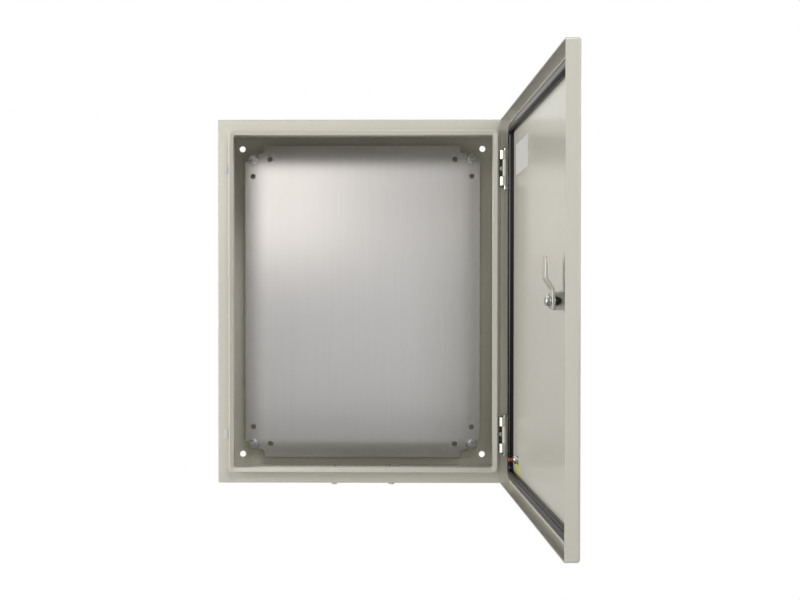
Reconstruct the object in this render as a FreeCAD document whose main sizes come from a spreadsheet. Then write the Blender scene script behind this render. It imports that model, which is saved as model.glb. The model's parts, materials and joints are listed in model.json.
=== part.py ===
import FreeCAD, Part
import math
import os
import re
import Sketcher
from FreeCAD import Placement, Rotation, Vector

# Steel wall enclosure with its door swung open.
# Frame: origin at the centre of the back's outer face, where it meets the wall.
# +X is the viewer's right, +Y points into the wall and +Z is up. Millimetres.

SIZES = {
    "body_width": 400,
    "body_height": 500,
    "body_depth": 143.5,
    "body_sheet": 1.5,
    "body_bend": 2,
    "fold_radius": 0.6,
    "flange_width": 16,
    "lip_width": 6.5,
    "lip_rise": 10,
    "lip_return": 2,
    "lip_slope": 1.6,
    "lip_slope_width": 4.9,
    "lip_corner": 5,
    "opening_corner": 2.5,
    "wall_hole_inset": 17.5,
    "wall_hole_radius": 4.5,
    "plate_margin_x": 23,
    "plate_margin_z": 15,
    "plate_thickness": 2,
    "plate_standoff": 12,
    "plate_notch_x": 20,
    "plate_notch_z": 24,
    "plate_tab_x": 29,
    "plate_tab_z": 11,
    "plate_corner": 2.5,
    "plate_shoulder": 4,
    "plate_hole_step_x": 25.7,
    "plate_hole_step_z": 25.5,
    "plate_hole_radius": 3.85,
    "stud_inset_x": 35,
    "stud_inset_z": 35.3,
    "stud_radius": 3,
    "stud_tail": 2,
    "spacer_radius": 7.5,
    "plate_washer_radius": 7,
    "plate_washer_thickness": 1.6,
    "plate_nut_flats": 10,
    "plate_nut_height": 5,
    "hinge_from_end": 68,
    "hinge_inset": 6.5,
    "hinge_standoff": 8.8,
    "hinge_knuckle_radius": 3.7,
    "hinge_arm_height": 12,
    "hinge_gap_height": 24,
    "hinge_arm_width": 7.1,
    "hinge_arm_front": 0.4,
    "hinge_arm_clearance": 1.2,
    "hinge_foot_width": 1.5,
    "hinge_base_thickness": 1.8,
    "pin_radius": 1.75,
    "pin_clearance": 0.05,
    "pin_top": 3.5,
    "pin_tail": 5.5,
    "pin_end": 0.8,
    "leaf_clearance": 0.6,
    "leaf_thickness": 2,
    "leaf_neck": 4.5,
    "hinge_screw_inset": 10.5,
    "hinge_screw_radius": 2,
    "hinge_head_radius": 3.4,
    "hinge_head_height": 2,
    "hinge_nut_flats": 7,
    "hinge_nut_height": 3.2,
    "hinge_screw_tail": 1,
    "plug_width": 5.5,
    "plug_height": 12.5,
    "plug_thickness": 0.8,
    "door_gap": 3.4,
    "door_rim": 15.5,
    "door_sheet": 1.5,
    "door_bend": 3.5,
    "door_corner": 3,
    "notch_clearance": 3,
    "notch_rest": 4,
    "gasket_width": 14,
    "gasket_clearance": 0.3,
    "gasket_outset": 3,
    "gasket_corner": 16,
    "gasket_inner_corner": 5,
    "lock_setback": 62,
    "lock_barrel_radius": 9.5,
    "lock_barrel_reach": 12.3,
    "lock_flange_radius": 14,
    "lock_flange_thickness": 3,
    "lock_seal_thickness": 1,
    "lock_nut_flats": 24,
    "lock_nut_height": 4,
    "rotor_radius": 6,
    "rotor_clearance": 0.05,
    "rotor_square": 8,
    "key_radius": 4,
    "key_slot_length": 11,
    "key_slot_width": 2.6,
    "key_post_radius": 1.5,
    "key_depth": 8,
    "cam_width": 18,
    "cam_thickness": 2.5,
    "cam_length": 46,
    "cam_tail": 9,
    "cam_bend_start": 12,
    "cam_bend_end": 23,
    "cam_bend_radius": 6,
    "cam_clearance": 0.3,
    "cam_washer_radius": 8,
    "cam_washer_thickness": 1.5,
    "cam_screw_radius": 2.5,
    "cam_screw_depth": 10,
    "cam_screw_spare": 1,
    "cam_screw_flats": 10,
    "cam_screw_head": 4,
    "door_stud_from_hinge": 55,
    "door_stud_above": 19.7,
    "door_stud_radius": 3,
    "door_stud_length": 12.8,
    "door_stud_washer_radius": 5.5,
    "door_stud_washer_thickness": 1.2,
    "door_stud_nut_flats": 10,
    "door_stud_nut_height": 5,
    "label_from_hinge": 37,
    "label_width": 84,
    "label_height": 40,
    "label_drop": 19.5,
    "label_thickness": 0.3,
    "sticker_width": 20,
    "sticker_gap": 0.45,
    "gland_width": 150,
    "gland_margin": 57.5,
    "gland_opening_width": 120,
    "gland_seat": 13,
    "gland_forward": 8.25,
    "gland_thickness": 1.5,
    "gland_gasket_thickness": 2,
    "gland_corner": 4,
    "gland_screw_spacing_x": 80,
    "gland_screw_edge": 6.5,
    "gland_screw_radius": 2.5,
    "gland_head_radius": 4.5,
    "gland_head_height": 3,
    "gland_nut_flats": 8,
    "gland_nut_height": 4,
    "gland_screw_tail": 4,
    "hole_clearance": 0.25,
    "earth_stud_from_side": 50,
    "earth_stud_setback": 33.5,
    "earth_stud_radius": 3,
    "earth_stud_length": 16,
    "earth_nut_flats": 10,
    "earth_nut_height": 5,
}

# Places that follow from the sizes.
PLACES = {
    "lip_half_x": "body_width / 2 - flange_width",
    "lip_half_z": "body_height / 2 - flange_width",
    "opening_half_x": "lip_half_x - lip_width",
    "opening_half_z": "lip_half_z - lip_width",
    "inside_width": "body_width - 2 * body_sheet",
    "inside_height": "body_height - 2 * body_sheet",
    "fold_outside": "body_sheet * 0.9",
    "stud_x": "body_width / 2 - stud_inset_x",
    "stud_z": "body_height / 2 - stud_inset_z",
    "plate_width": "body_width - 2 * plate_margin_x",
    "plate_height": "body_height - 2 * plate_margin_z",
    "plate_back": "body_sheet + plate_standoff",
    "plate_front": "plate_back + plate_thickness",
    "hinge_x": "body_width / 2 - hinge_inset",
    "hinge_y": "0 - body_depth - hinge_standoff",
    "hinge_height": "body_height / 2 - hinge_from_end",
    "hinge_span": "hinge_gap_height + 2 * hinge_arm_height",
    "hinge_screw_x": "body_width / 2 - hinge_screw_inset",
    "door_back": "body_depth + door_gap",
    "door_front": "door_back + door_rim",
    "door_inner": "door_front - door_sheet",
    "gasket_height": "door_inner - body_depth - lip_rise - gasket_clearance",
    "gasket_half_x": "(lip_half_x + opening_half_x) / 2 + gasket_width / 2",
    "gasket_half_z": "(lip_half_z + opening_half_z) / 2 + gasket_width / 2 + gasket_outset",
    "gasket_edge": "min(gasket_height; gasket_width / 2) * 0.75",
    "lock_x": "lock_setback - body_width / 2",
    "cam_step": "door_inner - body_depth + lip_return - lock_barrel_reach",
    "cam_run": "cam_bend_end - cam_bend_start",
    "cam_lean": "cam_thickness * (hypot(cam_run; cam_step) - cam_run) / cam_step",
    "cam_end_radius": "cam_width * 0.42",
    "door_stud_z": "gasket_width - gasket_half_z + door_stud_above",
    "sticker_height": "door_stud_above - door_stud_washer_radius - 2 * sticker_gap",
    "sticker_bottom": "gasket_width - gasket_half_z + sticker_gap",
    "label_bottom": "gasket_half_z - gasket_width - label_drop - label_height",
    "gland_length": "body_depth - gland_margin",
    "gland_opening_length": "gland_length - 2 * gland_seat",
    "gland_centre": "body_depth / 2 + gland_forward",
    "gland_screw_y": "gland_length / 2 - gland_screw_edge",
    "earth_stud_x": "body_width / 2 - earth_stud_from_side",
    "earth_stud_y": "earth_stud_setback - body_depth",
}

doc = FreeCAD.newDocument("wall_enclosure")
sheet = doc.addObject("Spreadsheet::Sheet", "Sizes")
places = doc.addObject("Spreadsheet::Sheet", "Places")


def bound(text):
    """Write each size or place in an expression with the sheet that holds it."""
    def owner(match):
        word = match.group(0)
        if word in SIZES:
            return "Sizes." + word
        if word in PLACES:
            return "Places." + word
        return word
    return re.sub(r"[a-z][a-z_]*", owner, str(text))


for line, (name, value) in enumerate(SIZES.items(), 1):
    sheet.set("A%d" % line, name)
    sheet.set("B%d" % line, str(value))
    sheet.setAlias("B%d" % line, name)
doc.recompute()
for line, (name, text) in enumerate(PLACES.items(), 1):
    places.set("A%d" % line, name)
    places.set("B%d" % line, "=" + bound(text))
    places.setAlias("B%d" % line, name)
    doc.recompute()


def value_of(text):
    """The number that an expression of sizes gives now."""
    numbers = {name: float(sheet.get(name)) for name in SIZES}
    numbers.update({name: float(places.get(name)) for name in PLACES})

    def number(match):
        return repr(numbers[match.group(0)])
    return float(FreeCAD.Units.Quantity(re.sub(r"[a-z][a-z_]*", number, str(text))).Value)


nodes = {}

FORWARD = Rotation(Vector(1, 0, 0), 90)
UPWARD = Rotation()
DOWNWARD = Rotation(Vector(1, 0, 0), 180)
HEX_CIRCUMRADIUS = "0.57735027"
TOLERANCE = 0.01


def place(obj, x, y, z, turn=UPWARD):
    """Put an object at a bound place, turned one way."""
    obj.Placement = Placement(Vector(), turn)
    obj.setExpression("Placement.Base.x", bound(x))
    obj.setExpression("Placement.Base.y", bound(y))
    obj.setExpression("Placement.Base.z", bound(z))
    return obj


def cylinder(radius, height, x, y, z, turn):
    obj = doc.addObject("Part::Cylinder", "Cylinder")
    obj.setExpression("Radius", bound(radius))
    obj.setExpression("Height", bound(height))
    return place(obj, x, y, z, turn)


def hexagon(flats, height, x, y, z, turn):
    obj = doc.addObject("Part::Prism", "Hexagon")
    obj.Polygon = 6
    obj.setExpression("Circumradius", bound("(%s) * %s" % (flats, HEX_CIRCUMRADIUS)))
    obj.setExpression("Height", bound(height))
    return place(obj, x, y, z, turn)


def box(width, length, height, x, y, z):
    """A block from its lowest corner."""
    obj = doc.addObject("Part::Box", "Block")
    obj.setExpression("Length", bound(width))
    obj.setExpression("Width", bound(length))
    obj.setExpression("Height", bound(height))
    return place(obj, x, y, z)


def cut(base, tool):
    obj = doc.addObject("Part::Cut", "Cut")
    obj.Base = base
    obj.Tool = tool
    return obj


def fuse(first, second):
    obj = doc.addObject("Part::Fuse", "Fuse")
    obj.Base = first
    obj.Tool = second
    return obj


def ring(outer, inner, height, x, y, z, turn):
    return cut(cylinder(outer, height, x, y, z, turn), cylinder(inner, height, x, y, z, turn))


def nut(flats, inner, height, x, y, z, turn):
    return cut(hexagon(flats, height, x, y, z, turn), cylinder(inner, height, x, y, z, turn))


def node(label, obj):
    """Name a finished piece. The label is also its file's name."""
    obj.Label = label
    nodes[label] = obj
    return obj


def group(label, pieces):
    """Several like pieces that share one name, each a solid of its own."""
    obj = doc.addObject("Part::Compound", "Group")
    obj.Links = pieces
    return node(label, obj)


def hang_on_door(obj):
    """Swing a piece, drawn on the closed door, out by a right angle about the hinge axis."""
    obj.Placement = Placement(Vector(), Rotation(Vector(0, 0, 1), 90))
    obj.setExpression("Placement.Base.x", bound("hinge_x + hinge_y"))
    obj.setExpression("Placement.Base.y", bound("hinge_y - hinge_x"))
    return obj


def body(label):
    obj = doc.addObject("PartDesign::Body", "Body")
    return node(label, obj)


def sketch(owner, plane, offset="0"):
    """A sketch on one of a body's own planes, moved along that plane's normal."""
    obj = owner.newObject("Sketcher::SketchObject", "Sketch")
    base = [item for item in owner.Origin.OriginFeatures if item.Role == plane][0]
    obj.AttachmentSupport = [(base, "")]
    obj.MapMode = "FlatFace"
    obj.setExpression("AttachmentOffset.Base.z", bound(offset))
    return obj


def hold(drawing, kind, geometry, point, text):
    """Hold a point at a bound distance from the sketch's origin, whatever its sign."""
    number = value_of(text)
    if number < 0:
        item = Sketcher.Constraint(kind, geometry, point, -1, 1, -number)
        text = "0 - (%s)" % text
    else:
        item = Sketcher.Constraint(kind, -1, 1, geometry, point, number)
    index = drawing.addConstraint(item)
    drawing.setExpression("Constraints[%d]" % index, bound(text))


def circle(drawing, radius, x="0", y="0"):
    centre = Vector(value_of(x), value_of(y), 0)
    index = drawing.addGeometry(Part.Circle(centre, Vector(0, 0, 1), value_of(radius)), False)
    size = drawing.addConstraint(Sketcher.Constraint("Radius", index, value_of(radius)))
    drawing.setExpression("Constraints[%d]" % size, bound(radius))
    hold(drawing, "DistanceX", index, 3, x)
    hold(drawing, "DistanceY", index, 3, y)


def polygon(drawing, points):
    """A closed outline of straight lines through bound points."""
    spots = [Vector(value_of(x), value_of(y), 0) for x, y in points]
    count = len(spots)
    lines = [Part.LineSegment(spots[i], spots[(i + 1) % count]) for i in range(count)]
    first = drawing.addGeometry(lines, False)[0]
    for i in range(count):
        following = first + (i + 1) % count
        drawing.addConstraint(Sketcher.Constraint("Coincident", first + i, 2, following, 1))
    for i, (x, y) in enumerate(points):
        hold(drawing, "DistanceX", first + i, 1, x)
        hold(drawing, "DistanceY", first + i, 1, y)


def rectangle(drawing, half_x, half_y, x="0", y="0"):
    low_x, high_x = "%s - (%s)" % (x, half_x), "%s + (%s)" % (x, half_x)
    low_y, high_y = "%s - (%s)" % (y, half_y), "%s + (%s)" % (y, half_y)
    polygon(drawing, [(low_x, low_y), (high_x, low_y), (high_x, high_y), (low_x, high_y)])


def rounded(drawing, half_x, half_y, radius):
    """A rectangle about the sketch's origin with four equal round corners."""
    a, b, r = value_of(half_x), value_of(half_y), value_of(radius)
    quarter = math.pi / 2
    centres = [(a - r, r - b), (a - r, b - r), (r - a, b - r), (r - a, r - b)]
    ends = [(r - a, -b), (a - r, -b), (a, r - b), (a, b - r), (a - r, b), (r - a, b), (-a, b - r), (-a, r - b)]
    items = []
    for i, centre in enumerate(centres):
        items.append(Part.LineSegment(Vector(*ends[2 * i], 0), Vector(*ends[2 * i + 1], 0)))
        full = Part.Circle(Vector(*centre, 0), Vector(0, 0, 1), r)
        items.append(Part.ArcOfCircle(full, (i - 1) * quarter, i * quarter))
    first = drawing.addGeometry(items, False)[0]
    for i in range(4):
        line, arc = first + 2 * i, first + 2 * i + 1
        following = first + (2 * i + 2) % 8
        drawing.addConstraint(Sketcher.Constraint("Tangent", line, 2, arc, 1))
        drawing.addConstraint(Sketcher.Constraint("Tangent", arc, 2, following, 1))
        drawing.addConstraint(Sketcher.Constraint("Vertical" if i % 2 else "Horizontal", line))
        if i:
            drawing.addConstraint(Sketcher.Constraint("Equal", first + 1, arc))
    size = drawing.addConstraint(Sketcher.Constraint("Radius", first + 1, r))
    drawing.setExpression("Constraints[%d]" % size, bound(radius))
    hold(drawing, "DistanceX", first + 2, 1, half_x)
    hold(drawing, "DistanceX", first + 6, 1, "0 - (%s)" % half_x)
    hold(drawing, "DistanceY", first + 4, 1, half_y)
    hold(drawing, "DistanceY", first, 1, "0 - (%s)" % half_y)


def pad(owner, drawing, length, backwards=False, middle=False):
    obj = owner.newObject("PartDesign::Pad", "Pad")
    obj.Profile = drawing
    obj.setExpression("Length", bound(length))
    obj.Reversed = backwards
    obj.Midplane = middle
    return obj


def pocket(owner, drawing, length, forwards=False, middle=False):
    """Cut a sketch into a body, against the sketch's normal or along it."""
    obj = owner.newObject("PartDesign::Pocket", "Pocket")
    obj.Profile = drawing
    obj.setExpression("Length", bound(length))
    obj.Reversed = forwards
    obj.Midplane = middle
    return obj


def fillet(owner, wanted, radius):
    """Round the edges whose middle and direction pass a test."""
    doc.recompute()
    base = owner.Tip
    names = []
    for index, edge in enumerate(base.Shape.Edges, 1):
        if wanted(edge):
            names.append("Edge%d" % index)
    if not names:
        raise RuntimeError("no edge to round on " + owner.Label)
    obj = owner.newObject("PartDesign::Fillet", "Fillet")
    obj.Base = (base, names)
    obj.setExpression("Radius", bound(radius))
    return obj


def slope(owner, wanted, across, deep):
    """Bevel the edges that pass a test, by one distance across the front and another one down the side."""
    doc.recompute()
    base = owner.Tip
    names = ["Edge%d" % index for index, edge in enumerate(base.Shape.Edges, 1) if wanted(edge)]
    obj = owner.newObject("PartDesign::Chamfer", "Chamfer")
    obj.Base = (base, names)
    obj.ChamferType = "Two distances"
    obj.setExpression("Size", bound(across))
    obj.setExpression("Size2", bound(deep))
    return obj


def lies_at(edge, depth):
    """Whether an edge lies in one plane that faces the viewer."""
    return abs(edge.BoundBox.YMin - depth) < TOLERANCE and abs(edge.BoundBox.YMax - depth) < TOLERANCE


def passes(edge, x, z):
    """Whether an edge runs from front to back through one of the four places at plus or minus x and z."""
    middle = edge.CenterOfMass
    return (edge.BoundBox.XLength < TOLERANCE and edge.BoundBox.ZLength < TOLERANCE
            and abs(abs(middle.x) - x) < TOLERANCE and abs(abs(middle.z) - z) < TOLERANCE)


def lies_on_level(edge, level):
    """Whether an edge lies at one height."""
    return abs(edge.BoundBox.ZMin - level) < TOLERANCE and abs(edge.BoundBox.ZMax - level) < TOLERANCE


def corner_signs():
    return [(x, z) for x in (-1, 1) for z in (-1, 1)]


# Body: one folded sheet makes the four walls, the front flange and the raised lip.
shell = body("body_shell")
drawing = sketch(shell, "XZ_Plane")
rounded(drawing, "body_width / 2", "body_height / 2", "body_bend")
pad(shell, drawing, "body_depth")
drawing = sketch(shell, "XZ_Plane")
rounded(drawing, "inside_width / 2", "inside_height / 2", "fold_radius")
pocket(shell, drawing, "body_depth - body_sheet", forwards=True)
drawing = sketch(shell, "XZ_Plane", "body_depth")
rounded(drawing, "lip_half_x", "lip_half_z", "lip_corner")
pad(shell, drawing, "lip_rise")
drawing = sketch(shell, "XZ_Plane", "body_depth")
rounded(drawing, "opening_half_x + body_sheet", "opening_half_z + body_sheet", "opening_corner + body_sheet")
pad(shell, drawing, "lip_return", backwards=True)
drawing = sketch(shell, "XZ_Plane", "body_depth + lip_rise")
rounded(drawing, "opening_half_x", "opening_half_z", "opening_corner")
pocket(shell, drawing, "lip_rise + lip_return")
drawing = sketch(shell, "XZ_Plane", "body_depth - body_sheet")
rounded(drawing, "lip_half_x - body_sheet", "lip_half_z - body_sheet", "lip_corner - body_sheet")
rounded(drawing, "opening_half_x + body_sheet", "opening_half_z + body_sheet", "opening_corner + body_sheet")
pocket(shell, drawing, "lip_rise - lip_slope", forwards=True)
drawing = sketch(shell, "XZ_Plane", "body_depth")
for x_sign, z_sign in corner_signs():
    circle(drawing, "hinge_screw_radius + hole_clearance",
           "%d * hinge_screw_x" % x_sign, "%d * hinge_height" % z_sign)
pocket(shell, drawing, "body_sheet")
drawing = sketch(shell, "XY_Plane", "0 - body_height / 2")
rectangle(drawing, "gland_opening_width / 2", "gland_opening_length / 2", "0", "0 - gland_centre")
for x_sign, y_sign in corner_signs():
    circle(drawing, "gland_screw_radius + hole_clearance",
           "%d * gland_screw_spacing_x / 2" % x_sign, "%d * gland_screw_y - gland_centre" % y_sign)
pocket(shell, drawing, "body_sheet", forwards=True)
front_of_lip = value_of("0 - body_depth - lip_rise")
front_of_flange = value_of("0 - body_depth")
outer_side = value_of("body_width / 2 - body_bend") - TOLERANCE
outer_top = value_of("body_height / 2 - body_bend") - TOLERANCE
opening_side = value_of("opening_half_x") + TOLERANCE
opening_top = value_of("opening_half_z") + TOLERANCE
slope(shell, lambda edge: lies_at(edge, front_of_lip)
      and abs(edge.CenterOfMass.x) < opening_side and abs(edge.CenterOfMass.z) < opening_top,
      "lip_slope_width", "lip_slope")
fillet(shell, lambda edge: lies_at(edge, front_of_lip), "fold_outside")
fillet(shell, lambda edge: lies_at(edge, front_of_flange)
       and (abs(edge.CenterOfMass.x) > outer_side or abs(edge.CenterOfMass.z) > outer_top), "fold_outside")

# The back is a flat sheet welded inside the walls, with four open holes for the wall screws.
back = body("back_panel")
drawing = sketch(back, "XZ_Plane")
rounded(drawing, "inside_width / 2", "inside_height / 2", "fold_radius")
for x_sign, z_sign in corner_signs():
    circle(drawing, "wall_hole_radius", "%d * (body_width / 2 - wall_hole_inset)" % x_sign,
           "%d * (body_height / 2 - wall_hole_inset)" % z_sign)
pad(back, drawing, "body_sheet")

# Mounting plate: flat zinc-coated sheet, stepped at its corners to pass its four studs.
plate = body("mounting_plate")
steps = [("plate_width / 2", "plate_height / 2 - plate_notch_z"),
         ("plate_width / 2 - plate_notch_x", "plate_height / 2 - plate_tab_z"),
         ("plate_width / 2 - plate_tab_x", "plate_height / 2")]
for half_x, half_z in steps:
    drawing = sketch(plate, "XZ_Plane", "plate_back")
    rounded(drawing, half_x, half_z, "plate_corner")
    pad(plate, drawing, "plate_thickness")
drawing = sketch(plate, "XZ_Plane", "plate_front")
for x_sign, z_sign in corner_signs():
    circle(drawing, "plate_hole_radius", "%d * (stud_x - plate_hole_step_x)" % x_sign, "%d * stud_z" % z_sign)
    circle(drawing, "plate_hole_radius", "%d * stud_x" % x_sign, "%d * (stud_z - plate_hole_step_z)" % z_sign)
pocket(plate, drawing, "plate_thickness")
shoulders = [("plate_notch_x", "plate_notch_z"), ("plate_tab_x", "plate_tab_z")]
corners = [(value_of("plate_width / 2 - " + x), value_of("plate_height / 2 - " + z)) for x, z in shoulders]
fillet(plate, lambda edge: any(passes(edge, x, z) for x, z in corners), "plate_shoulder")

studs, spacers, washers, nuts = [], [], [], []
for x_sign, z_sign in corner_signs():
    x, z = "%d * stud_x" % x_sign, "%d * stud_z" % z_sign
    reach = "plate_front + plate_washer_thickness + plate_nut_height + stud_tail - body_sheet"
    studs.append(cylinder("stud_radius", reach, x, "0 - body_sheet", z, FORWARD))
    spacers.append(ring("spacer_radius", "stud_radius", "plate_standoff", x, "0 - body_sheet", z, FORWARD))
    washers.append(ring("plate_washer_radius", "stud_radius", "plate_washer_thickness",
                        x, "0 - plate_front", z, FORWARD))
    nuts.append(nut("plate_nut_flats", "stud_radius", "plate_nut_height",
                    x, "0 - plate_front - plate_washer_thickness", z, FORWARD))
group("plate_studs", studs)
group("plate_spacers", spacers)
group("plate_washers", washers)
group("plate_nuts", nuts)


def hinge_bracket(label, side):
    """A die-cast foot on the flange with two arms that hold the pin."""
    bracket = body(label)
    drawing = sketch(bracket, "XY_Plane")
    left, bevel = "hinge_x - hinge_arm_width", "gasket_half_x + hinge_arm_clearance"
    shoulder, front = "gasket_clearance - body_depth - lip_rise", "hinge_y - hinge_knuckle_radius"
    polygon(drawing, [(left, "0 - body_depth"), (left, shoulder), (bevel, front),
                      ("hinge_x + hinge_arm_front", front),
                      ("hinge_x + hinge_knuckle_radius", "hinge_y"),
                      ("hinge_x + hinge_foot_width", "0 - body_depth")])
    pad(bracket, drawing, "hinge_span", middle=True)
    drawing = sketch(bracket, "XY_Plane")
    circle(drawing, "hinge_knuckle_radius", "hinge_x", "hinge_y")
    pad(bracket, drawing, "hinge_span", middle=True)
    drawing = sketch(bracket, "XY_Plane")
    near, far = "0 - body_depth - hinge_base_thickness", "hinge_y - 2 * hinge_knuckle_radius"
    past, right = left + " - hinge_knuckle_radius", "hinge_x + 2 * hinge_knuckle_radius"
    polygon(drawing, [(past, near), (past, far), (right, far), (right, near)])
    pocket(bracket, drawing, "hinge_gap_height", middle=True)
    drawing = sketch(bracket, "XY_Plane")
    circle(drawing, "pin_radius", "hinge_x", "hinge_y")
    pocket(bracket, drawing, "hinge_span", middle=True)
    drawing = sketch(bracket, "XZ_Plane", "body_depth + hinge_base_thickness")
    circle(drawing, "hinge_screw_radius", "hinge_screw_x")
    pocket(bracket, drawing, "hinge_base_thickness")
    bracket.setExpression("Placement.Base.z", bound("%d * hinge_height" % side))


def hinge_leaf(label, side):
    """A knuckle on a neck with a flat foot, welded to the inside of the door."""
    leaf = body(label)
    height = "hinge_gap_height - 2 * leaf_clearance"
    drawing = sketch(leaf, "XY_Plane")
    circle(drawing, "hinge_knuckle_radius", "hinge_x", "hinge_y")
    pad(leaf, drawing, height, middle=True)
    drawing = sketch(leaf, "XY_Plane")
    left, right = "hinge_x - leaf_neck / 2", "hinge_x + leaf_neck / 2"
    polygon(drawing, [(left, "hinge_y"), (left, "0 - door_inner"), (right, "0 - door_inner"), (right, "hinge_y")])
    pad(leaf, drawing, height, middle=True)
    drawing = sketch(leaf, "XY_Plane")
    foot = "0 - door_inner + leaf_thickness"
    inner = "body_width / 2 - door_bend"
    gasket_side = "gasket_half_x + gasket_clearance"
    polygon(drawing, [(gasket_side, foot), (gasket_side, "0 - door_inner"),
                      (inner, "0 - door_inner"), (inner, foot)])
    pad(leaf, drawing, height, middle=True)
    drawing = sketch(leaf, "XY_Plane")
    circle(drawing, "pin_radius + pin_clearance", "hinge_x", "hinge_y")
    pocket(leaf, drawing, height, middle=True)
    hang_on_door(leaf)
    leaf.setExpression("Placement.Base.z", bound("%d * hinge_height" % side))


def hinge_pin(label, side):
    """A headless pin with rounded ends, longer than the hinge at both of them."""
    pin = body(label)
    drawing = sketch(pin, "XY_Plane", "%d * hinge_height - hinge_span / 2 - pin_tail" % side)
    circle(drawing, "pin_radius", "hinge_x", "hinge_y")
    pad(pin, drawing, "hinge_span + pin_top + pin_tail")
    fillet(pin, lambda edge: edge.BoundBox.ZLength < TOLERANCE, "pin_end")


screws, screw_nuts, plugs = [], [], []
for word, side in (("upper", 1), ("lower", -1)):
    hinge_bracket("hinge_bracket_" + word, side)
    hinge_leaf("hinge_leaf_" + word, side)
    hinge_pin("hinge_pin_" + word, side)
    z = "%d * hinge_height" % side
    head_back = "0 - body_depth - hinge_base_thickness"
    screw_end = "0 - body_depth + body_sheet + hinge_nut_height + hinge_screw_tail"
    shank = "hinge_base_thickness + body_sheet + hinge_nut_height + hinge_screw_tail"
    screws.append(fuse(cylinder("hinge_head_radius", "hinge_head_height", "hinge_screw_x", head_back, z, FORWARD),
                       cylinder("hinge_screw_radius", shank, "hinge_screw_x", screw_end, z, FORWARD)))
    screw_nuts.append(nut("hinge_nut_flats", "hinge_screw_radius", "hinge_nut_height",
                          "hinge_screw_x", "0 - body_depth + body_sheet + hinge_nut_height", z, FORWARD))
    cover = box("plug_width", "plug_thickness", "plug_height", "0 - hinge_screw_x - plug_width / 2",
                "0 - body_depth - plug_thickness", z + " - plug_height / 2")
    stem = cylinder("hinge_screw_radius", "plug_thickness / 2 + 2 * body_sheet", "0 - hinge_screw_x",
                    "0 - body_depth + 2 * body_sheet", z, FORWARD)
    plugs.append(fuse(cover, stem))
group("hinge_bracket_screws", screws)
group("hinge_bracket_nuts", screw_nuts)
group("hinge_blanking_plugs", plugs)

# Cable entry under the body: a screwed-on blank plate with its gasket.
under = "0 - body_height / 2"
gland_layers = [("gland_gasket", under, "gland_gasket_thickness"),
                ("gland_plate", under + " - gland_gasket_thickness", "gland_thickness")]
for label, top, thickness in gland_layers:
    layer = body(label)
    drawing = sketch(layer, "XY_Plane", top)
    rounded(drawing, "gland_width / 2", "gland_length / 2", "gland_corner")
    if label == "gland_gasket":
        rectangle(drawing, "gland_opening_width / 2", "gland_opening_length / 2")
    for x_sign, y_sign in corner_signs():
        circle(drawing, "gland_screw_radius + hole_clearance",
               "%d * gland_screw_spacing_x / 2" % x_sign, "%d * gland_screw_y" % y_sign)
    pad(layer, drawing, thickness, backwards=True)
    layer.setExpression("Placement.Base.y", bound("0 - gland_centre"))
screws, screw_nuts = [], []
plate_under = under + " - gland_gasket_thickness - gland_thickness"
for x_sign, y_sign in corner_signs():
    x, y = "%d * gland_screw_spacing_x / 2" % x_sign, "%d * gland_screw_y - gland_centre" % y_sign
    shank = "gland_thickness + gland_gasket_thickness + body_sheet + gland_nut_height + gland_screw_tail"
    head = cylinder("gland_head_radius", "gland_head_height", x, y, plate_under, DOWNWARD)
    screws.append(fuse(head, cylinder("gland_screw_radius", shank, x, y, plate_under, UPWARD)))
    screw_nuts.append(nut("gland_nut_flats", "gland_screw_radius", "gland_nut_height",
                          x, y, under + " + body_sheet", UPWARD))
group("gland_screws", screws)
group("gland_nuts", screw_nuts)

# Earth stud on the floor of the body, for the lead to the door.
floor = "0 - body_height / 2 + body_sheet"
node("body_earth_stud", cylinder("earth_stud_radius", "earth_stud_length",
                                 "earth_stud_x", "earth_stud_y", floor, UPWARD))
node("body_earth_nut", nut("earth_nut_flats", "earth_stud_radius", "earth_nut_height",
                           "earth_stud_x", "earth_stud_y", floor, UPWARD))

# Door: a shallow pan as wide and high as the body, notched where the hinges stand.
door = body("door_panel")
drawing = sketch(door, "XZ_Plane", "door_back")
rounded(drawing, "body_width / 2", "body_height / 2", "door_corner")
pad(door, drawing, "door_rim")
drawing = sketch(door, "XZ_Plane", "door_back")
rounded(drawing, "body_width / 2 - door_sheet", "body_height / 2 - door_sheet", "door_corner - door_sheet")
pocket(door, drawing, "door_rim - door_sheet", forwards=True)
drawing = sketch(door, "XZ_Plane", "door_back")
notch_z = "hinge_span / 2 + notch_clearance"
for z_sign in (-1, 1):
    rectangle(drawing, "2 * door_sheet", notch_z, "body_width / 2", "%d * hinge_height" % z_sign)
pocket(door, drawing, "door_rim - notch_rest", forwards=True)
drawing = sketch(door, "XZ_Plane", "door_front")
circle(drawing, "lock_barrel_radius", "lock_x")
pocket(door, drawing, "door_sheet")
front_of_door = value_of("0 - door_front")
inside_of_door = value_of("0 - door_inner")
rim_side = value_of("body_width / 2 - door_sheet - door_corner")
rim_top = value_of("body_height / 2 - door_sheet - door_corner")
fillet(door, lambda edge: lies_at(edge, front_of_door)
       and (abs(edge.CenterOfMass.x) > rim_side or abs(edge.CenterOfMass.z) > rim_top), "door_bend")
fillet(door, lambda edge: lies_at(edge, inside_of_door)
       and (abs(edge.CenterOfMass.x) > rim_side or abs(edge.CenterOfMass.z) > rim_top), "door_bend - door_sheet")
hang_on_door(door)

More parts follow.
